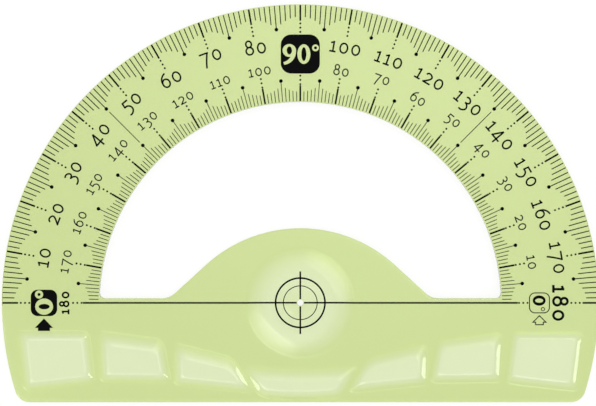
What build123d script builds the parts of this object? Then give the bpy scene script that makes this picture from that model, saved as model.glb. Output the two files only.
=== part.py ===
"""A half-moon school protractor, moulded flat in clear coloured plastic and printed in black.

Frame: the origin is the centre of the sighting hole on the flat back face. +X runs along the
zero line to the 0 of the inner scale, +Y points to 90 degrees and +Z out of the printed face.
All sizes are in millimetres and all angles in degrees.
"""

import os
from math import copysign, cos, dist, radians, sin, sqrt, tan

from build123d import *

# ---- moulding ------------------------------------------------------------------------------
rim_radius = 60.0          # outer scale edge
ring_width = 19.6          # rim to window, measured along a radius
base_depth = 20.0          # zero line down to the bottom edge
thickness = 2.0
edge_round = 0.15          # all outline edges, both faces
base_corner_radius = 3.0   # bottom left and right corners

strip_rise = 0.9           # zero line up to the straight edge of the window
hump_rise = 15.0           # zero line up to the top of the hump
hump_radius = 28.2
hump_flank_angle = 42.5    # slope of the straight flanks
hump_foot_radius = 4.0     # blend of the flanks into the straight edge
window_corner_radius = 1.0

# ---- dimple and sighting hole ----------------------------------------------------------------
sight_hole_diameter = 1.2
dimple_crown_height = 1.36  # low crown round the hole
dimple_valley_radius = 5.8
dimple_valley_height = 1.14
dimple_mouth_radius = 10.9

# ---- seven finger grips ----------------------------------------------------------------------
grip_depth = 1.0
grip_side_run = 1.3        # how far a sloping wall comes in from the mouth to the floor
grip_bottom_run = 1.2
grip_mouth_radius = 1.4
grip_floor_radius = 0.6
grip_row_length = 60.0     # half length and depth of the base on which the grips are drawn
grip_row_depth = 20.0
# Mouth corners of the right-hand grips, then the run of the top wall. The corners are
# outer top, inner top, inner bottom and outer bottom.
side_grips = (
    (((56.9, -5.8), (42.6, -5.8), (41.4, -16.05), (55.5, -17.65)), 1.3),
    (((40.6, -5.7), (27.7, -7.4), (26.1, -16.0), (40.2, -15.8)), 2.2),
    (((25.45, -8.05), (13.5, -11.0), (9.4, -18.0), (25.4, -16.35)), 2.2),
)
middle_grip = ((12.0, -12.5), (-12.0, -12.5), (-8.2, -18.8), (8.2, -18.8))
middle_grip_top_run = 2.2
middle_grip_top_sag = 0.7
middle_grip_bottom_sag = 0.5

# ---- print -----------------------------------------------------------------------------------
ink_film = 0.04            # height of the ink above the plastic
outer_tick_width = 0.2
inner_tick_width = 0.15
outer_tick_length = 2.3    # shortest degree tick
inner_tick_length = 1.85
outer_tick_growth = 0.09   # ticks lengthen with the square of their place in the ten
inner_tick_growth = 0.053
ten_tick_width = 0.36
ten_tick_length = 3.15
pointer_dot_radius = 0.37
outer_pointer_reach = 4.75
inner_pointer_reach = 4.2
leader_dot_radius = 0.2
leader_dot_spacing = 0.85
outer_leader_reach = 3.7   # scale edge to the first leader dot
inner_leader_reach = 3.4
guide_width = 0.16
guide_clearance = 0.85     # between a pointer dot's centre and the diagonal guide line

figure_gap = 0.27          # this and the next two are shares of a figure's x-height
figure_overhang = 0.36     # 6 and 8 rise and 3, 4, 5 and 7 hang by this
figure_widths = {"0": 0.80, "1": 0.56, "2": 0.75, "3": 0.72, "4": 0.92,
                 "5": 0.70, "6": 0.78, "7": 0.84, "8": 0.78}
bold_spread = 1.12         # the bold figures are this much wider
outer_figure_height = 2.28
outer_figure_stroke = 0.34
outer_label_reach = 7.8    # rim to the middle of the outer numbers, up to 90 and past it
outer_label_reach_past_90 = 8.1
inner_figure_height = 1.67
inner_figure_stroke = 0.24
inner_label_reach = 5.9    # window edge to the foot of the inner numbers
outer_end_height = 2.45    # the bold 180 that ends the outer scale
outer_end_stroke = 0.50
outer_end_reach = 9.4
inner_end_height = 1.55    # the bold 180 that ends the inner scale
inner_end_stroke = 0.36
inner_end_reach = 5.98

ninety_badge_size = 7.85
ninety_badge_corner = 2.1
ninety_badge_reach = 10.0
ninety_height = 3.96
solid_badge_size = 5.3
solid_badge_corner = 1.4
solid_badge_reach = 8.5
outline_badge_size = 4.2
outline_badge_corner = 1.2
outline_badge_stroke = 0.2
outline_badge_reach = 7.65  # measured from the window edge
badge_arrow_gap = 0.48

line_width = 0.34
target_rings = (("target_outer_ring", 4.97, 0.35), ("target_inner_ring", 3.4, 0.18))
target_upright_reach = 6.3
hole_ink_clearance = 0.12  # bare plastic left round the sighting hole

# ---- derived ---------------------------------------------------------------------------------
window_radius = rim_radius - ring_width
outer_edge = rim_radius - edge_round
inner_edge = window_radius + edge_round
print_plane = Plane.XY.offset(thickness)
tens = 18
numbered_tens = [10 * ten for ten in range(1, tens) if 10 * ten != 90]


def dimple_profile(lift=0.0):
    """Crown, valley and bowl of the dimple, as arcs; the crown runs level into the valley."""
    crown = (0, dimple_crown_height + lift)
    valley = (dimple_valley_radius, dimple_valley_height + lift)
    halfway = ((crown[0] + valley[0]) / 2, (crown[1] + valley[1]) / 2)
    crown_arc = TangentArc(crown, halfway, tangent=(1, 0))
    TangentArc(halfway, valley, tangent=crown_arc % 1)
    TangentArc(valley, (dimple_mouth_radius, thickness + lift), tangent=(1, 0))


def fit_to_base(points, side=1):
    """Stretch grip points with the base, on its right (1) or left (-1) half."""
    across = side * rim_radius / grip_row_length
    down = base_depth / grip_row_depth
    return [(x * across, y * down) for x, y in points]


def inset_corners(corners, runs):
    """Move each edge of a grip's mouth in by its own run, and give the floor's corners."""
    middle = [sum(values) / len(corners) for values in zip(*corners)]
    edges = []
    for start, end, run in zip(corners, corners[1:] + corners[:1], runs):
        across, up = (start[1] - end[1]) / dist(start, end), (end[0] - start[0]) / dist(start, end)
        level = across * start[0] + up * start[1]
        inward = copysign(1, across * middle[0] + up * middle[1] - level)
        edges.append((across, up, level + inward * run))
    floor = []
    for (a, b, c), (d, e, f) in zip(edges[-1:] + edges[:-1], edges):
        floor.append(((c * e - f * b) / (a * e - d * b), (a * f - d * c) / (a * e - d * b)))
    return floor


def bowed_line(start, end, sag):
    if sag:
        ThreePointArc(start, ((start[0] + end[0]) / 2, (start[1] + end[1]) / 2 - sag), end)
    else:
        Line(start, end)


def grip_face(corners, top_sag, bottom_sag, corner_radius):
    """Draw a grip's mouth or floor in the current sketch."""
    outer_top, inner_top, inner_bottom, outer_bottom = corners
    with BuildLine() as rim:
        bowed_line(outer_top, inner_top, top_sag)
        Line(inner_top, inner_bottom)
        bowed_line(inner_bottom, outer_bottom, bottom_sag)
        Line(outer_bottom, outer_top)
    face = make_face(rim.line)
    fillet(face.vertices(), corner_radius)


# ---- plastic body ----------------------------------------------------------------------------
with BuildSketch() as window:
    foot = hump_radius * sin(radians(hump_flank_angle))
    shoulder = hump_rise - hump_radius * (1 - cos(radians(hump_flank_angle)))
    flank_run = (shoulder - strip_rise) / tan(radians(hump_flank_angle))
    corner = sqrt(window_radius**2 - strip_rise**2)
    with BuildLine():
        ThreePointArc((corner, strip_rise), (0, window_radius), (-corner, strip_rise))
        Line((-corner, strip_rise), (-foot - flank_run, strip_rise))
        Line((-foot - flank_run, strip_rise), (-foot, shoulder))
        ThreePointArc((-foot, shoulder), (0, hump_rise), (foot, shoulder))
        Line((foot, shoulder), (foot + flank_run, strip_rise))
        Line((foot + flank_run, strip_rise), (corner, strip_rise))
    make_face()
    low_corners = window.vertices().group_by(Axis.Y)[0].sort_by(Axis.X)
    fillet([low_corners[0], low_corners[-1]], window_corner_radius)
    feet = [v for v in window.vertices() if abs(abs(v.X) - foot - flank_run) < edge_round]
    fillet(feet, hump_foot_radius)

with BuildPart() as protractor_body:
    with BuildSketch():
        base_corner = sqrt(rim_radius**2 - base_depth**2)
        with BuildLine():
            ThreePointArc((base_corner, -base_depth), (0, rim_radius), (-base_corner, -base_depth))
            Line((-base_corner, -base_depth), (base_corner, -base_depth))
        outline = make_face()
        fillet(outline.vertices(), base_corner_radius)
        add(window.sketch, mode=Mode.SUBTRACT)
    extrude(amount=thickness)
    outline_edges = protractor_body.edges().group_by(Axis.Z)
    fillet(outline_edges[0] + outline_edges[-1], edge_round)

    with BuildSketch(Plane.XZ):
        with BuildLine():
            dimple_profile()
            above = thickness + 1
            Polyline((dimple_mouth_radius, thickness), (dimple_mouth_radius, above), (0, above),
                     (0, dimple_crown_height))
        make_face()
    revolve(axis=Axis.Z, mode=Mode.SUBTRACT)
    with Locations((0, 0, thickness)):
        Hole(sight_hole_diameter / 2)

    grips = [(corners, side, top_run, 0, 0) for corners, top_run in side_grips for side in (1, -1)]
    grips.append((middle_grip, 1, middle_grip_top_run, middle_grip_top_sag, middle_grip_bottom_sag))
    for corners, side, top_run, top_sag, bottom_sag in grips:
        mouth = fit_to_base(corners, side)
        floor = inset_corners(mouth, (top_run, grip_side_run, grip_bottom_run, grip_side_run))
        with BuildSketch(print_plane):
            grip_face(mouth, top_sag, bottom_sag, grip_mouth_radius)
        with BuildSketch(print_plane.offset(-grip_depth)):
            grip_face(floor, top_sag, bottom_sag, grip_floor_radius)
        loft(ruled=True, mode=Mode.SUBTRACT)


# ---- figures ---------------------------------------------------------------------------------
def figure(character, height, stroke, spread=1.0):
    """One old-style figure in an even pen stroke, centred on x = 0 and standing on y = 0."""
    inset = stroke / 2 / height
    low = inset
    waist = 0.72
    high = 1 - inset
    top = high + figure_overhang
    tail = low - figure_overhang
    side = figure_widths[character] * spread / 2 - inset

    def scaled(points):
        return [(x * height, y * height) for x, y in points]

    def ring(middle, half_width, half_height):
        """An ellipse that the middle of the pen follows."""
        with Locations((0, middle * height)):
            Ellipse((half_width + inset) * height, (half_height + inset) * height)
            Ellipse((half_width - inset) * height, (half_height - inset) * height, mode=Mode.SUBTRACT)

    def bar(*points):
        with BuildLine() as pen_path:
            Line(*scaled(points))
        trace(pen_path.line, line_width=stroke)

    def curve(*points):
        with BuildLine() as pen_path:
            Spline(*scaled(points))
        trace(pen_path.line, line_width=stroke)

    with BuildSketch() as drawn:
        if character == "0":
            ring(0.5, side, high - 0.5)
        elif character == "1":
            bar((0.03, 0), (0.03, 1))
            bar((-0.24, 0.8), (0.05, high))
            bar((-side - inset, low), (side + inset, low))
        elif character == "2":
            curve((-side, 0.76), (-0.03, high), (0.26, 0.72), (-0.02, 0.3), (-side, low))
            bar((-side - inset, low), (side + inset, low))
        elif character == "3":
            curve((-0.27, 0.84), (-0.02, high), (0.23, 0.72), (-0.1, 0.42))
            curve((-0.12, 0.41), (0.17, 0.3), (side, 0.02), (0.03, -0.27), (-side, tail))
        elif character == "4":
            bar((0.13, 1), (-side, low))
            bar((-side - inset, low), (side + inset, low))
            bar((0.13, 1), (0.13, -figure_overhang))
        elif character == "5":
            bar((-0.19 - inset, high), (side + inset, high))
            bar((-0.19, high), (-0.24, 0.46))
            curve((-0.25, 0.48), (0.08, 0.46), (side, 0.12), (0.06, -0.24), (-side, tail))
        elif character == "6":
            ring(0.44, side, 0.44 - inset)
            curve((-side, 0.44), (-0.2, 0.94), (0.28, top))
        elif character == "7":
            bar((-side - inset, high), (side + inset, high))
            curve((side, high), (0.12, 0.4), (-0.12, -figure_overhang))
        elif character == "8":
            ring((low + waist) / 2, side, (waist - low) / 2)
            ring((waist + top) / 2, side - 0.07, (top - waist) / 2)
    return drawn.sketch


def number(value, height, stroke, spread=1.0):
    """A row of figures, centred on its own box."""
    pen = 0
    with BuildSketch() as row:
        for character in str(value):
            width = figure_widths[character] * spread * height
            with Locations((pen + width / 2, 0)):
                add(figure(character, height, stroke, spread))
            pen += width + figure_gap * height
    return row.sketch.moved(Location(-row.sketch.bounding_box().center()))


def half_height(sketch):
    return sketch.bounding_box().size.Y / 2


def write_out(sketch, radius, angle, mode=Mode.ADD):
    """Set a sketch at a radius and angle with its top turned outwards."""
    with PolarLocations(radius, 1, start_angle=angle):
        add(sketch, rotation=-90, mode=mode)


def bold_zero(middle, width, height, hole_width, hole_height):
    """A heavy 0, or a degree ring: an ellipse with an elliptical hole."""
    with Locations(middle):
        Ellipse(width / 2, height / 2)
        Ellipse(hole_width / 2, hole_height / 2, mode=Mode.SUBTRACT)


# ---- files -----------------------------------------------------------------------------------
def finish(name, part):
    """Label a finished piece and write its file."""
    part.label = name
    export_step(part, f"parts/{name}.step")


def print_flat(name, sketch):
    """Print a sketch as a film of ink on the flat face."""
    with BuildPart() as film:
        with BuildSketch(print_plane):
            add(sketch)
        extrude(amount=ink_film)
    finish(name, film.part)


def print_over_dimple(name, sketch):
    """Print a sketch as a film of ink that follows the face into the dimple."""
    with BuildPart() as film:
        with BuildSketch(Plane.XZ):
            with BuildLine():
                dimple_profile()
                Polyline((dimple_mouth_radius, thickness), (rim_radius, thickness),
                         (rim_radius, thickness + ink_film), (dimple_mouth_radius, thickness + ink_film))
                dimple_profile(lift=ink_film)
                Line((0, dimple_crown_height), (0, dimple_crown_height + ink_film))
            make_face()
        revolve(axis=Axis.Z)
        with BuildSketch():
            add(sketch)
        extrude(amount=thickness + 1, mode=Mode.INTERSECT)
    finish(name, film.part)


os.makedirs("parts", exist_ok=True)
finish("protractor_body", protractor_body.part)

# ---- both scales -----------------------------------------------------------------------------
scales = {
    "outer": (outer_edge, -1, outer_tick_width, outer_tick_length, outer_tick_growth,
              outer_pointer_reach, outer_leader_reach),
    "inner": (inner_edge, 1, inner_tick_width, inner_tick_length, inner_tick_growth,
              inner_pointer_reach, inner_leader_reach),
}
for scale, (edge, inward, width, length, growth, pointer_reach, leader_reach) in scales.items():
    from_edge = (Align.MAX if inward < 0 else Align.MIN, Align.CENTER)
    with BuildSketch() as degree_ticks:
        for place in (1, 2, 3, 4, 6, 7, 8, 9):
            from_ten = min(place, 10 - place)
            with PolarLocations(edge, tens, start_angle=place, angular_range=180):
                Rectangle(length + growth * from_ten**2, width, align=from_edge)
    print_flat(f"{scale}_degree_ticks", degree_ticks.sketch)

    with BuildSketch() as five_degree_pointers:
        with PolarLocations(edge, tens, start_angle=5, angular_range=180):
            Rectangle(pointer_reach, width, align=from_edge)
        with PolarLocations(edge + inward * pointer_reach, tens, start_angle=5, angular_range=180):
            Circle(pointer_dot_radius)
    print_flat(f"{scale}_five_degree_pointers", five_degree_pointers.sketch)

    with BuildSketch() as ten_degree_ticks:
        with PolarLocations(edge, tens + 1, angular_range=180, endpoint=True):
            Rectangle(ten_tick_length, ten_tick_width, align=from_edge)
    print_flat(f"{scale}_ten_degree_ticks", ten_degree_ticks.sketch)

    with BuildSketch() as leader_dots:
        for step in range(3):
            radius = edge + inward * (leader_reach + step * leader_dot_spacing)
            with PolarLocations(radius, tens + 1, angular_range=180, endpoint=True):
                Circle(leader_dot_radius)
    print_flat(f"{scale}_leader_dots", leader_dots.sketch)

# ---- numbers ---------------------------------------------------------------------------------
with BuildSketch() as outer_numbers:
    for value in numbered_tens:
        label = number(value, outer_figure_height, outer_figure_stroke)
        reach = outer_label_reach if value < 90 else outer_label_reach_past_90
        write_out(label, rim_radius - reach, 180 - value)
print_flat("outer_numbers", outer_numbers.sketch)

with BuildSketch() as inner_numbers:
    for value in numbered_tens:
        label = number(value, inner_figure_height, inner_figure_stroke)
        write_out(label, window_radius + inner_label_reach + half_height(label), value)
print_flat("inner_numbers", inner_numbers.sketch)

with BuildSketch() as outer_end_number:
    label = number(180, outer_end_height, outer_end_stroke, bold_spread)
    write_out(label, rim_radius - outer_end_reach + half_height(label), 0)
print_flat("outer_end_number", outer_end_number.sketch)

with BuildSketch() as inner_end_number:
    label = number(180, inner_end_height, inner_end_stroke, bold_spread)
    write_out(label, window_radius + inner_end_reach + half_height(label), 180)
print_flat("inner_end_number", inner_end_number.sketch)

# ---- badges and arrows -----------------------------------------------------------------------
with BuildSketch() as ninety_text:
    with BuildLine():
        tail = ThreePointArc((-0.86, 0.75), (-1.35, -1.05), (-3.2, -2.17))
        Line(tail @ 1, (-3.42, -1.62))
        ThreePointArc((-3.42, -1.62), (-2.2, -0.9), (-1.65, 0.3))
        Line((-1.65, 0.3), tail @ 0)
    make_face()
    with Locations((-2.2, 0.72)):
        Ellipse(1.36, 1.3)
        Ellipse(0.52, 0.8, mode=Mode.SUBTRACT)
    bold_zero((0.72, -0.01), 2.62, ninety_height, 1.0, 2.75)
    bold_zero((3.05, 1.24), 1.37, 1.37, 0.6, 0.6)

with BuildSketch() as ninety_badge:
    badge_middle = rim_radius - ninety_badge_reach
    with Locations((0, badge_middle)):
        RectangleRounded(ninety_badge_size, ninety_badge_size, ninety_badge_corner)
    write_out(ninety_text.sketch, badge_middle, 90, mode=Mode.SUBTRACT)
print_flat("ninety_badge", ninety_badge.sketch)

with BuildSketch() as solid_text:
    bold_zero((-0.75, -0.04), 3.27, 3.6, 1.07, 2.2)
    bold_zero((1.69, 0.99), 1.65, 1.65, 0.6, 0.6)

with BuildSketch() as solid_zero_badge:
    badge_middle = rim_radius - solid_badge_reach
    with Locations((-badge_middle, 0)):
        RectangleRounded(solid_badge_size, solid_badge_size, solid_badge_corner)
    write_out(solid_text.sketch, badge_middle, 180, mode=Mode.SUBTRACT)
print_flat("solid_zero_badge", solid_zero_badge.sketch)

with BuildSketch() as outline_text:
    bold_zero((-0.47, -0.06), 2.07, 2.6, 0.85, 1.6)
    bold_zero((1.26, 0.7), 0.82, 0.82, 0.5, 0.5)

with BuildSketch() as outline_zero_badge:
    badge_middle = window_radius + outline_badge_reach
    inside = outline_badge_size - 2 * outline_badge_stroke
    with Locations((badge_middle, 0)):
        RectangleRounded(outline_badge_size, outline_badge_size, outline_badge_corner)
        RectangleRounded(inside, inside, outline_badge_corner - outline_badge_stroke, mode=Mode.SUBTRACT)
    write_out(outline_text.sketch, badge_middle, 0)
print_flat("outline_zero_badge", outline_zero_badge.sketch)


def arrow_lines(tip, head_width, head_height, shaft_width, shaft_height):
    """A stubby arrow that points up to its tip."""
    left, right = tip[0] - head_width / 2, tip[0] + head_width / 2
    shaft_left, shaft_right = tip[0] - shaft_width / 2, tip[0] + shaft_width / 2
    head_foot = tip[1] - head_height
    foot = head_foot - shaft_height
    Polyline(tip, (right, head_foot), (shaft_right, head_foot), (shaft_right, foot),
             (shaft_left, foot), (shaft_left, head_foot), (left, head_foot), close=True)


with BuildSketch() as solid_arrow:
    with BuildLine():
        tip_height = -solid_badge_size / 2 - badge_arrow_gap
        arrow_lines((solid_badge_reach - rim_radius, tip_height), 3.67, 1.89, 2.4, 0.61)
    make_face()
print_flat("solid_arrow", solid_arrow.sketch)

with BuildSketch() as outline_arrow:
    with BuildLine():
        tip_height = -outline_badge_size / 2 - badge_arrow_gap
        arrow_lines((window_radius + outline_badge_reach, tip_height), 2.6, 1.3, 1.55, 0.5)
    trace(line_width=outline_badge_stroke)
print_flat("outline_arrow", outline_arrow.sketch)

# ---- lines and sighting target ---------------------------------------------------------------
with BuildSketch() as diagonal_guides:
    guide_start = inner_edge + inner_pointer_reach + guide_clearance
    guide_end = outer_edge - outer_pointer_reach - guide_clearance
    with PolarLocations(guide_start, 2, start_angle=45, angular_range=180):
        Rectangle(guide_end - guide_start, guide_width, align=(Align.MIN, Align.CENTER))
print_flat("diagonal_guides", diagonal_guides.sketch)

bare_width = sight_hole_diameter + 2 * hole_ink_clearance

with BuildSketch() as zero_line:
    Rectangle(2 * inner_edge, line_width)
    Rectangle(bare_width, bare_width, mode=Mode.SUBTRACT)
print_over_dimple("zero_line", zero_line.sketch)

with BuildSketch() as target_upright:
    Rectangle(line_width, 2 * target_upright_reach)
    Rectangle(bare_width, bare_width, mode=Mode.SUBTRACT)
print_over_dimple("target_upright", target_upright.sketch)

for name, radius, stroke in target_rings:
    with BuildSketch() as ring:
        Circle(radius + stroke / 2)
        Circle(radius - stroke / 2, mode=Mode.SUBTRACT)
        Rectangle(2 * target_upright_reach, line_width, mode=Mode.SUBTRACT)
        Rectangle(line_width, 2 * target_upright_reach, mode=Mode.SUBTRACT)
    print_over_dimple(name, ring.sketch)
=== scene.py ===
"""Looks for the half-moon protractor: a clear green moulding with soft edges and black print.

Plan sizes are in millimetres in the part's own frame, and become metres when a mesh is made.
"""

import math

import bpy
import numpy as np
from mathutils.geometry import delaunay_2d_cdt
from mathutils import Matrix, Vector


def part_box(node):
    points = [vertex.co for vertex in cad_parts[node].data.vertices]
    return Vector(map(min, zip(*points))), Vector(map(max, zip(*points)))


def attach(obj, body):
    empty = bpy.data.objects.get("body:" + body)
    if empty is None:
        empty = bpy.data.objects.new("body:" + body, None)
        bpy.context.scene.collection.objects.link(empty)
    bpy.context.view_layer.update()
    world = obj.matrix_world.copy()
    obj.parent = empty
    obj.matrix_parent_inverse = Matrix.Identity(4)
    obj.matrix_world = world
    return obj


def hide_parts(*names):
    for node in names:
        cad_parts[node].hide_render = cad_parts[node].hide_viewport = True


MM = 0.001

# ---- plan sizes ------------------------------------------------------------------------------
RING_WIDTH = 19.6
BASE_CORNER = 3.0
STRIP_RISE = 0.9
WINDOW_CORNER = 1.0
HUMP_RISE = 15.0
HUMP_RADIUS = 28.2
HUMP_FLANK = math.radians(42.5)
HUMP_FOOT = 4.0
HOLE_RADIUS = 0.6
HOLE_EDGE = 0.05
HOLE_TURN = 2 * math.pi * 0.999999   # a hair short of a full turn

CROWN_HEIGHT = 1.36          # dimple: low crown, valley and mouth
VALLEY = (5.8, 1.14)         # radius and height
MOUTH_RADIUS = 10.9

RING_EDGE = 0.15             # edge rounding along the scales
STRIP_EDGE = 0.25
SOFT_EDGE = 0.45             # edge rounding of the base and the hump
BACK_EDGE = 0.15
EDGE_BLEND = 6.0             # length over which one rounding grows into another

GRIP_DEPTH = 1.0
SIDE_RUN = 1.3               # how far a wall slopes in from its grip's mouth to the floor
BOTTOM_RUN = 1.2
MOUTH_BLEND = 0.1            # softness of a wall's two ends, as shares of its run
FLOOR_BLEND = 0.3
CORNER_BLEND = 0.9           # softness of the corners between walls
# Mouth corners of the right-hand grips, then the run of the top wall. The corners are
# outer top, inner top, inner bottom and outer bottom.
SIDE_GRIPS = (
    (((56.9, -5.8), (42.6, -5.8), (41.4, -16.05), (55.5, -17.65)), 1.3),
    (((40.6, -5.7), (27.7, -7.4), (26.1, -16.0), (40.2, -15.8)), 2.2),
    (((25.45, -8.05), (13.5, -11.0), (9.4, -18.0), (25.4, -16.35)), 2.2),
)
MIDDLE_GRIP = ((12.0, -12.5), (-12.0, -12.5), (-8.2, -18.8), (8.2, -18.8))
MIDDLE_TOP_RUN = 2.2
MIDDLE_TOP_SAG = 0.7
MIDDLE_BOTTOM_SAG = 0.5

LOOP_STEP = 0.3              # spacing of points along the outline
FINE_STEP = 0.3              # spacing of points over the base
COARSE_STEP = 2.5            # spacing of points over the flat ring
RING_EVERY = 8               # only every eighth outline step is kept there
RING_ANGLE_MARGIN = 0.03     # radians left free at the ring's two ends
RING_INNER_MARGIN = 1.5
RING_OUTER_MARGIN = 1.0
STRIP_END_MARGIN = 10.0      # the fine points stop that far inside the window's radius
EDGE_SHARE = 1.3             # points stay clear of an edge by this share of its rounding
EDGE_CLEARANCE = 0.12        # and by this much more
BATCH = 4000                 # points compared with an outline at a time
MATERIAL_SIDES = (1, -1, -1)  # plastic lies inside the outline, outside the window and hole
ROUNDING_STEPS = 6
BACK_ROUNDING_STEPS = 3
FLAT_RIM_SHARE = 1.2         # a ring of flat face follows each rounding, this share of it in
FLAT_RIM_WIDTH = 0.03        # and this much more
LEAST_WALL = 0.1             # upright wall left between the two roundings
MERGE_DISTANCE = 1e-7        # points nearer than this are one point to the triangulation

# ---- camera: where it stands over the part and how much it sees ------------------------------
VIEW_CENTRE = (-0.46, 20.07)
VIEW_WIDTH = 119.74
LENS = 150
SENSOR_WIDTH = 36
NEAREST_VIEW = 0.01          # in metres

# ---- stage -----------------------------------------------------------------------------------
FLOOR_SIZE = 6               # in metres
FLOOR_GAP = 0.05             # between the plate's back and the floor
WORLD_STRENGTH = 0.9

# ---- lamps: name, azimuth, elevation and width in degrees, brightness in whites --------------
LAMP_DISTANCE = 1.5          # in metres
LAMP_GAP = 0.02              # each lamp is that much farther off than the one before it
LAMPS = (
    ("left_strip_lamp", 180, 20, 18, 6),
    ("lower_left_lamp", 213, 13, 20, 5),
    ("upper_right_lamp", 28, 18, 20, 5),
    # softboxes that fade outwards, each a stack of discs
    ("lower_left_glow_small", 225, 70, 20, 0.45),
    ("lower_left_glow_middle", 225, 66, 29, 0.45),
    ("lower_left_glow_large", 225, 62, 37, 0.45),
    ("upper_right_glow_small", 45, 70, 20, 0.7),
    ("upper_right_glow_middle", 45, 66, 29, 0.7),
    ("upper_right_glow_large", 45, 62, 37, 0.7),
    ("overhead_glow_1", 68, 80, 12, 0.22),
    ("overhead_glow_2", 68, 80, 16, 0.22),
    ("overhead_glow_3", 68, 80, 20, 0.22),
    ("overhead_glow_4", 68, 80, 24, 0.22),
    ("overhead_glow_5", 68, 80, 28, 0.22),
)


# ---- outline ---------------------------------------------------------------------------------
def arc(centre, radius, start, end):
    """Points along an arc, angles in radians, without its last point."""
    count = max(3, round(abs(end - start) * radius / LOOP_STEP))
    angles = np.linspace(start, end, count, endpoint=False)
    return np.column_stack((centre[0] + radius * np.cos(angles),
                            centre[1] + radius * np.sin(angles)))


def line(start, end):
    """Points along a straight run, without its last point."""
    count = max(2, round(math.dist(start, end) / LOOP_STEP))
    share = np.linspace(0, 1, count, endpoint=False)[:, None]
    return np.array(start) * (1 - share) + np.array(end) * share


def outer_loop(rim, base):
    """The rim and the base, and how far each point's edge is rounded."""
    corner_y = -base + BASE_CORNER
    corner_x = math.sqrt((rim - BASE_CORNER) ** 2 - corner_y**2)
    leave = math.atan2(corner_y, corner_x)
    points = np.vstack((
        line((-corner_x, -base), (corner_x, -base)),
        arc((corner_x, corner_y), BASE_CORNER, -math.pi / 2, leave),
        arc((0, 0), rim, leave, math.pi - leave),
        arc((-corner_x, corner_y), BASE_CORNER, math.pi - leave, 1.5 * math.pi),
    ))
    softness = smooth_step(-points[:, 1] / EDGE_BLEND)
    return points, RING_EDGE + (SOFT_EDGE - RING_EDGE) * softness


def window_loop(window):
    """The half-moon window round the hump, and how far each point's edge is rounded."""
    centre_y = HUMP_RISE - HUMP_RADIUS
    top = math.pi / 2
    shoulder = (HUMP_RADIUS * math.sin(HUMP_FLANK),
                centre_y + HUMP_RADIUS * math.cos(HUMP_FLANK))
    foot_x = shoulder[0] + (shoulder[1] - STRIP_RISE) / math.tan(HUMP_FLANK)
    foot_x += HUMP_FOOT * math.tan(HUMP_FLANK / 2)
    foot_y = STRIP_RISE + HUMP_FOOT
    flank_foot = (foot_x - HUMP_FOOT * math.sin(HUMP_FLANK),
                  foot_y - HUMP_FOOT * math.cos(HUMP_FLANK))
    corner_y = STRIP_RISE + WINDOW_CORNER
    corner_x = math.sqrt((window - WINDOW_CORNER) ** 2 - corner_y**2)
    leave = math.atan2(corner_y, corner_x)
    runs = (
        (line((foot_x, STRIP_RISE), (corner_x, STRIP_RISE)), STRIP_EDGE),
        (arc((corner_x, corner_y), WINDOW_CORNER, -top, leave), RING_EDGE),
        (arc((0, 0), window, leave, math.pi - leave), RING_EDGE),
        (arc((-corner_x, corner_y), WINDOW_CORNER, math.pi - leave, 3 * top), RING_EDGE),
        (line((-corner_x, STRIP_RISE), (-foot_x, STRIP_RISE)), STRIP_EDGE),
        (arc((-foot_x, foot_y), HUMP_FOOT, 3 * top, 3 * top + HUMP_FLANK), SOFT_EDGE),
        (line((-flank_foot[0], flank_foot[1]), (-shoulder[0], shoulder[1])), SOFT_EDGE),
        (arc((0, centre_y), HUMP_RADIUS, top + HUMP_FLANK, top - HUMP_FLANK), SOFT_EDGE),
        (line(shoulder, flank_foot), SOFT_EDGE),
        (arc((foot_x, foot_y), HUMP_FOOT, -top - HUMP_FLANK, -top), SOFT_EDGE),
    )
    points = np.vstack([run for run, _ in runs])
    rounding = np.concatenate([np.full(len(run), size) for run, size in runs])
    spread = round(EDGE_BLEND / LOOP_STEP / 2)
    shifted = [np.roll(rounding, shift) for shift in range(-spread, spread + 1)]
    return points, np.mean(shifted, axis=0)


def hole_loop():
    points = arc((0, 0), HOLE_RADIUS, 0, HOLE_TURN)
    return points, np.full(len(points), HOLE_EDGE)


def into_material(points, side):
    """Unit vectors from a closed loop's points into the plastic."""
    along = np.roll(points, -1, axis=0) - np.roll(points, 1, axis=0)
    along /= np.linalg.norm(along, axis=1)[:, None]
    return side * np.column_stack((-along[:, 1], along[:, 0]))


# ---- relief ----------------------------------------------------------------------------------
def smooth_step(value):
    value = np.clip(value, 0, 1)
    return value * value * (3 - 2 * value)


def dimple_height(radius, thickness):
    """A crown of two equal arcs down to the valley, then one arc up to the mouth."""
    run, drop = VALLEY[0] / 2, (CROWN_HEIGHT - VALLEY[1]) / 2
    size = (run**2 + drop**2) / (2 * drop)
    bend = size - np.sqrt(size**2 - np.clip(np.minimum(radius, VALLEY[0] - radius), 0, run)**2)
    crown = np.where(radius < run, CROWN_HEIGHT - bend, VALLEY[1] + bend)
    run, climb = MOUTH_RADIUS - VALLEY[0], thickness - VALLEY[1]
    size = (run**2 + climb**2) / (2 * climb)
    bowl = VALLEY[1] + size - np.sqrt(size**2 - np.clip(radius - VALLEY[0], 0, run)**2)
    return np.where(radius < VALLEY[0], crown, np.minimum(bowl, thickness))


def distance_inside(points, corners):
    """Signed distance from points to a polygon's edge, positive inside it."""
    nearest = np.full(len(points), np.inf)
    inside = np.zeros(len(points), bool)
    for start, end in zip(corners, np.roll(corners, -1, axis=0)):
        edge = end - start
        offset = points - start
        share = np.clip(offset @ edge / (edge @ edge), 0, 1)
        nearest = np.minimum(nearest, np.linalg.norm(offset - share[:, None] * edge, axis=1))
        crosses = (start[1] > points[:, 1]) != (end[1] > points[:, 1])
        with np.errstate(divide="ignore", invalid="ignore"):
            reach = start[0] + (points[:, 1] - start[1]) / edge[1] * edge[0]
        inside ^= crosses & (points[:, 0] < reach)
    return np.where(inside, nearest, -nearest)


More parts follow.
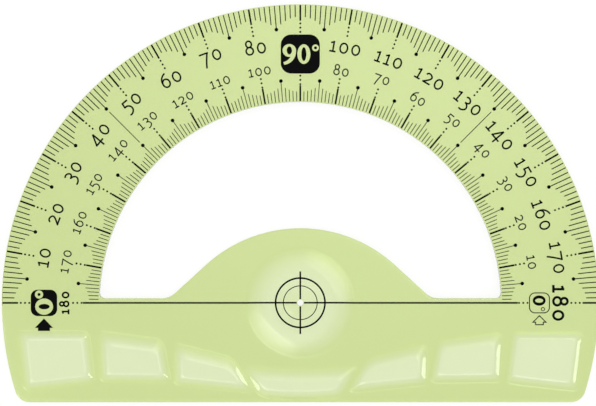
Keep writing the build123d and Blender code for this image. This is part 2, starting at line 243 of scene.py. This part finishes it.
def past_edge(points, start, end, sag, middle):
    """How far points lie inside one edge of a grip, which may be an arc that sags."""
    edge = np.subtract(end, start)
    length = np.linalg.norm(edge)
    if sag:
        size = (length**2 / 4 + sag**2) / (2 * sag)
        centre = (np.add(start, end) / 2)[1] - sag + size
        distance = size - np.linalg.norm(points - (0, centre), axis=1)
        return distance if middle[1] > np.add(start, end)[1] / 2 else -distance
    normal = np.array([-edge[1], edge[0]]) / length
    normal *= math.copysign(1, normal @ (middle - start))
    return (points - start) @ normal


def soft_least(first, second):
    """The smaller of two shares, rounded off where they are nearly equal."""
    gap = np.clip(CORNER_BLEND - np.abs(first - second), 0, None) / CORNER_BLEND
    return np.minimum(first, second) - gap**2 * CORNER_BLEND / 4


def soft_ramp(share, blend):
    """Zero before the start and a straight climb after it, with a soft bend between."""
    return np.where(share > blend, share, np.clip(share + blend, 0, None)**2 / (4 * blend))


def grip_depth(points, corners, top_run, top_sag, bottom_sag):
    """How far one grip sinks the face: sloping walls that meet softly round a flat floor."""
    corners = np.array(corners)
    middle = corners.mean(axis=0)
    deepest = None
    ends = np.roll(corners, -1, axis=0)
    runs = (top_run, SIDE_RUN, BOTTOM_RUN, SIDE_RUN)
    sags = (top_sag, 0, bottom_sag, 0)
    for start, end, run, sag in zip(corners, ends, runs, sags):
        share = past_edge(points, start, end, sag, middle) / run
        deepest = share if deepest is None else soft_least(deepest, share)
    deepest = np.clip(deepest, -MOUTH_BLEND, 1 + FLOOR_BLEND)
    return GRIP_DEPTH * (soft_ramp(deepest, MOUTH_BLEND) - soft_ramp(deepest - 1, FLOOR_BLEND))


def top_height(points, thickness):
    """Height of the relief on the printed face, before its edges are rounded."""
    height = dimple_height(np.linalg.norm(points, axis=1), thickness)
    for corners, top_run in SIDE_GRIPS:
        for side in (1, -1):
            height = height - grip_depth(points * (side, 1), corners, top_run, 0, 0)
    return height - grip_depth(points, MIDDLE_GRIP, MIDDLE_TOP_RUN,
                               MIDDLE_TOP_SAG, MIDDLE_BOTTOM_SAG)


# ---- moulding --------------------------------------------------------------------------------
class Shell:
    """Collects rings of points and the faces between them."""

    def __init__(self):
        self.points = []
        self.faces = []

    def ring(self, plan, height):
        start = len(self.points)
        self.points.extend(zip(plan[:, 0], plan[:, 1], np.broadcast_to(height, len(plan))))
        return np.arange(start, start + len(plan))

    def bridge(self, first, second):
        after = np.roll(first, -1), np.roll(second, -1)
        self.faces.extend(zip(first, after[0], after[1], second))

    def fill(self, rings, extra, extra_height):
        """Fill the area between the first ring and the others, through the extra points."""
        extra_ring = self.ring(extra, extra_height) if len(extra) else np.array([], int)
        used = np.concatenate(list(rings) + [extra_ring])
        plan = np.array(self.points)[used, :2]
        edges = []
        begin = 0
        for ring in rings:
            places = begin + np.arange(len(ring))
            edges.extend(zip(places.tolist(), np.roll(places, -1).tolist()))
            begin += len(ring)
        inside_outline = 1
        out, _, triangles, origin, _, _ = delaunay_2d_cdt(
            plan.tolist(), edges, [], inside_outline, MERGE_DISTANCE)
        names = [used[source[0]] for source in origin]
        centres = np.array([np.mean([out[corner][:] for corner in face], axis=0)
                            for face in triangles])
        keep = np.ones(len(centres), bool)
        for ring in rings[1:]:
            keep &= distance_inside(centres, np.array(self.points)[ring, :2]) < 0
        for face, kept in zip(triangles, keep):
            if kept:
                self.faces.append([names[corner] for corner in face])


def inner_points(loops, rim, window):
    """Points spread over the plastic: fine over the base and the dimple, coarse over the ring."""
    radii = np.arange(HOLE_RADIUS + 0.3, MOUTH_RADIUS + FINE_STEP, FINE_STEP)
    polar = [arc((0, 0), radius, 0, 2 * math.pi) for radius in radii]
    base_x, base_y = np.meshgrid(np.arange(-rim, rim, FINE_STEP),
                                 np.arange(-rim, HUMP_RISE, FINE_STEP))
    base = np.column_stack((base_x.ravel(), base_y.ravel()))
    low = (base[:, 1] < STRIP_RISE) | (np.abs(base[:, 0]) < window - STRIP_END_MARGIN)
    base = base[low & (np.linalg.norm(base, axis=1) > MOUTH_RADIUS + 1.5 * FINE_STEP)]
    ring_radii = np.arange(window + RING_INNER_MARGIN, rim - RING_OUTER_MARGIN, COARSE_STEP)
    ring = np.vstack([arc((0, 0), radius, RING_ANGLE_MARGIN, math.pi - RING_ANGLE_MARGIN)
                      [::RING_EVERY] for radius in ring_radii])
    points = np.vstack(polar + [base, ring])
    clear = np.ones(len(points), bool)
    for (plan, _), side in zip(loops, MATERIAL_SIDES):
        clear &= side * distance_inside(points, plan) > 0
    points = points[clear]
    free = np.ones(len(points), bool)
    for plan, rounding in loops:
        for begin in range(0, len(points), BATCH):
            batch = slice(begin, begin + BATCH)
            gaps = np.linalg.norm(points[batch, None] - plan[None], axis=2)
            gaps -= EDGE_SHARE * rounding[None]
            free[batch] &= gaps.min(axis=1) > EDGE_CLEARANCE
    return points[free]


def rounded_edge(shell, plan, inward, radius, level, rise, steps, first=None):
    """Rings round a quarter circle from a wall onto a face, then a narrow rim of that face.

    level gives the face's height at points, and rise is 1 for the printed face, -1 for the back.
    The rings start from the ring called first, or from a new one. Returns first and last ring.
    """
    previous = first
    for turn in np.linspace(0, math.pi / 2, steps + 1):
        place = plan + inward * (radius * (1 - math.cos(turn)))[:, None]
        ring = shell.ring(place, level(place) - rise * radius * (1 - math.sin(turn)))
        if previous is None:
            first = ring
        else:
            shell.bridge(previous, ring)
        previous = ring
    place = plan + inward * (radius * FLAT_RIM_SHARE + FLAT_RIM_WIDTH)[:, None]
    ring = shell.ring(place, level(place))
    shell.bridge(previous, ring)
    return first, ring


def build_moulding(thickness, rim, base):
    window = rim - RING_WIDTH
    loops = [outer_loop(rim, base), window_loop(window), hole_loop()]
    shell = Shell()
    top_rings = []
    back_rings = []
    for (plan, rounding), side in zip(loops, MATERIAL_SIDES):
        inward = into_material(plan, side)
        rounding = np.minimum(rounding, thickness - BACK_EDGE - LEAST_WALL)
        top_edge, ring = rounded_edge(shell, plan, inward, rounding,
                                      lambda place: top_height(place, thickness), 1,
                                      ROUNDING_STEPS)
        top_rings.append(ring)
        back = np.minimum(rounding, BACK_EDGE)
        _, ring = rounded_edge(shell, plan, inward, back, lambda place: 0.0, -1,
                               BACK_ROUNDING_STEPS, first=top_edge)
        back_rings.append(ring)
    extra = inner_points(loops, rim, window)
    shell.fill(top_rings, extra, top_height(extra, thickness))
    shell.fill(back_rings, np.empty((0, 2)), 0.0)

    mesh = bpy.data.meshes.new("clear_moulding")
    faces = [[int(corner) for corner in face] for face in shell.faces]
    mesh.from_pydata((np.array(shell.points) * MM).tolist(), [], faces)
    mesh.validate()
    moulding = bpy.data.objects.new("clear_moulding", mesh)
    bpy.context.scene.collection.objects.link(moulding)
    bpy.context.view_layer.objects.active = moulding
    moulding.select_set(True)
    bpy.ops.object.mode_set(mode="EDIT")
    bpy.ops.mesh.select_all(action="SELECT")
    bpy.ops.mesh.normals_make_consistent(inside=False)
    bpy.ops.object.mode_set(mode="OBJECT")
    mesh.shade_smooth()
    return moulding


# ---- materials -------------------------------------------------------------------------------
def new_material(name):
    """A material with its nodes, its links, and its own surface and output nodes."""
    material = bpy.data.materials.new(name)
    material.use_nodes = True
    nodes, links = material.node_tree.nodes, material.node_tree.links
    return material, nodes, links, nodes["Principled BSDF"], nodes["Material Output"]


def clear_green():
    """Clear light green plastic: glassy, a little wavy, greener where it is thicker."""
    material, nodes, links, plastic, output = new_material("clear_green")
    plastic.inputs["Base Color"].default_value = (0.93, 0.965, 0.94, 1)
    plastic.inputs["Transmission Weight"].default_value = 1.0
    plastic.inputs["Roughness"].default_value = 0.08
    plastic.inputs["IOR"].default_value = 1.49

    place = nodes.new("ShaderNodeTexCoord")
    waves = nodes.new("ShaderNodeTexNoise")
    waves.inputs["Scale"].default_value = 60
    waves.inputs["Detail"].default_value = 2
    bump = nodes.new("ShaderNodeBump")
    bump.inputs["Strength"].default_value = 0.05
    bump.inputs["Distance"].default_value = 0.0005
    links.new(place.outputs["Object"], waves.inputs["Vector"])
    links.new(waves.outputs["Fac"], bump.inputs["Height"])
    links.new(bump.outputs["Normal"], plastic.inputs["Normal"])

    absorb = nodes.new("ShaderNodeVolumeAbsorption")
    absorb.inputs["Color"].default_value = (0.7, 0.8, 0.11, 1)
    absorb.inputs["Density"].default_value = 560
    links.new(absorb.outputs["Volume"], output.inputs["Volume"])

    lamp_side = nodes.new("ShaderNodeBsdfTransparent")
    lamp_side.inputs["Color"].default_value = (0.62, 0.74, 0.3, 1)
    path = nodes.new("ShaderNodeLightPath")
    mix = nodes.new("ShaderNodeMixShader")
    links.new(path.outputs["Is Shadow Ray"], mix.inputs[0])
    links.new(plastic.outputs["BSDF"], mix.inputs[1])
    links.new(lamp_side.outputs["BSDF"], mix.inputs[2])
    links.new(mix.outputs["Shader"], output.inputs["Surface"])
    return material


def ink(name, dark, light):
    """Printed ink: nearly even, with a faint mottle and a soft sheen."""
    material, nodes, links, surface, _ = new_material(name)
    surface.inputs["Roughness"].default_value = 0.5
    surface.inputs["Specular IOR Level"].default_value = 0.04
    place = nodes.new("ShaderNodeTexCoord")
    mottle = nodes.new("ShaderNodeTexNoise")
    mottle.inputs["Scale"].default_value = 1500
    mottle.inputs["Detail"].default_value = 3
    ramp = nodes.new("ShaderNodeValToRGB")
    ramp.color_ramp.elements[0].color = (*dark, 1)
    ramp.color_ramp.elements[1].color = (*light, 1)
    links.new(place.outputs["Object"], mottle.inputs["Vector"])
    links.new(mottle.outputs["Fac"], ramp.inputs["Fac"])
    links.new(ramp.outputs["Color"], surface.inputs["Base Color"])
    return material


def white_floor():
    """White for anything that looks at it, with a little true shading kept for the shadow."""
    material, nodes, links, surface, output = new_material("white_floor")
    surface.inputs["Base Color"].default_value = (0.95, 0.95, 0.95, 1)
    surface.inputs["Roughness"].default_value = 0.9
    surface.inputs["Specular IOR Level"].default_value = 0.0
    glow = nodes.new("ShaderNodeEmission")
    path = nodes.new("ShaderNodeLightPath")
    looks = nodes.new("ShaderNodeMath")
    looks.operation = "MAXIMUM"
    looks_through = nodes.new("ShaderNodeMath")
    looks_through.operation = "MAXIMUM"
    share = nodes.new("ShaderNodeMath")
    share.operation = "MULTIPLY"
    share.inputs[1].default_value = 0.85
    mix = nodes.new("ShaderNodeMixShader")
    links.new(path.outputs["Is Camera Ray"], looks.inputs[0])
    links.new(path.outputs["Is Glossy Ray"], looks.inputs[1])
    links.new(looks.outputs["Value"], looks_through.inputs[0])
    links.new(path.outputs["Is Transmission Ray"], looks_through.inputs[1])
    links.new(looks_through.outputs["Value"], share.inputs[0])
    links.new(share.outputs["Value"], mix.inputs[0])
    links.new(surface.outputs["BSDF"], mix.inputs[1])
    links.new(glow.outputs["Emission"], mix.inputs[2])
    links.new(mix.outputs["Shader"], output.inputs["Surface"])
    return material


# ---- stage -----------------------------------------------------------------------------------
def add_floor(level):
    bpy.ops.mesh.primitive_plane_add(size=FLOOR_SIZE, location=(0, 0, level))
    floor = bpy.context.object
    floor.name = "floor"
    floor.data.materials.append(white_floor())


def add_lamp(name, azimuth, elevation, spread, brightness, distance):
    """A round lamp far off, as bright as that many whites and that many degrees across."""
    lamp = bpy.data.lights.new(name, "AREA")
    lamp.shape = "DISK"
    lamp.size = 2 * distance * math.tan(math.radians(spread) / 2)
    disc = math.pi * lamp.size**2 / 4
    lamp.energy = brightness * math.pi * disc
    holder = bpy.data.objects.new(name, lamp)
    turn, rise = math.radians(azimuth), math.radians(elevation)
    direction = Vector((math.cos(rise) * math.cos(turn), math.cos(rise) * math.sin(turn),
                           math.sin(rise)))
    holder.location = direction * distance
    holder.rotation_euler = direction.to_track_quat("Z", "Y").to_euler()
    bpy.context.scene.collection.objects.link(holder)


def add_world(strength):
    world = bpy.data.worlds.new("studio")
    world.use_nodes = True
    background = world.node_tree.nodes["Background"]
    background.inputs["Color"].default_value = (1, 1, 1, 1)
    background.inputs["Strength"].default_value = strength
    bpy.context.scene.world = world


def add_camera(top):
    """Straight above the face, about half a metre up."""
    camera = bpy.data.cameras.new("camera")
    camera.lens = LENS
    camera.sensor_width = SENSOR_WIDTH
    camera.clip_start = NEAREST_VIEW
    holder = bpy.data.objects.new("camera", camera)
    rise = VIEW_WIDTH * MM * LENS / SENSOR_WIDTH
    holder.location = (VIEW_CENTRE[0] * MM, VIEW_CENTRE[1] * MM, top + rise)
    bpy.context.scene.collection.objects.link(holder)
    bpy.context.scene.camera = holder


# ---- scene -----------------------------------------------------------------------------------
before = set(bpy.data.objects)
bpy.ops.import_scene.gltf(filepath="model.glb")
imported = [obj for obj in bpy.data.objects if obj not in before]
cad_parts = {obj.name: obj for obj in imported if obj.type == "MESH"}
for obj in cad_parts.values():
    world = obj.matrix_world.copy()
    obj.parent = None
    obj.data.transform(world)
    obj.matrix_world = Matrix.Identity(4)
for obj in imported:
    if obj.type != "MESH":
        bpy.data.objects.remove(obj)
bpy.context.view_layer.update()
low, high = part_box("protractor_body")
moulding = build_moulding(thickness=high[2] / MM, rim=high[0] / MM, base=-low[1] / MM)
moulding.data.materials.append(clear_green())
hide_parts("protractor_body")
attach(moulding, "root")

black = ink("black_ink", (0.0004, 0.0004, 0.0006), (0.0015, 0.0015, 0.002))
for name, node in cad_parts.items():
    if name != "protractor_body":
        node.data.materials.clear()
        node.data.materials.append(black)

add_floor(low[2] - FLOOR_GAP * MM)
add_world(WORLD_STRENGTH)
for order, lamp_row in enumerate(LAMPS):
    add_lamp(*lamp_row, LAMP_DISTANCE + order * LAMP_GAP)
add_camera(high[2])
bpy.context.scene.view_settings.view_transform = "Standard"
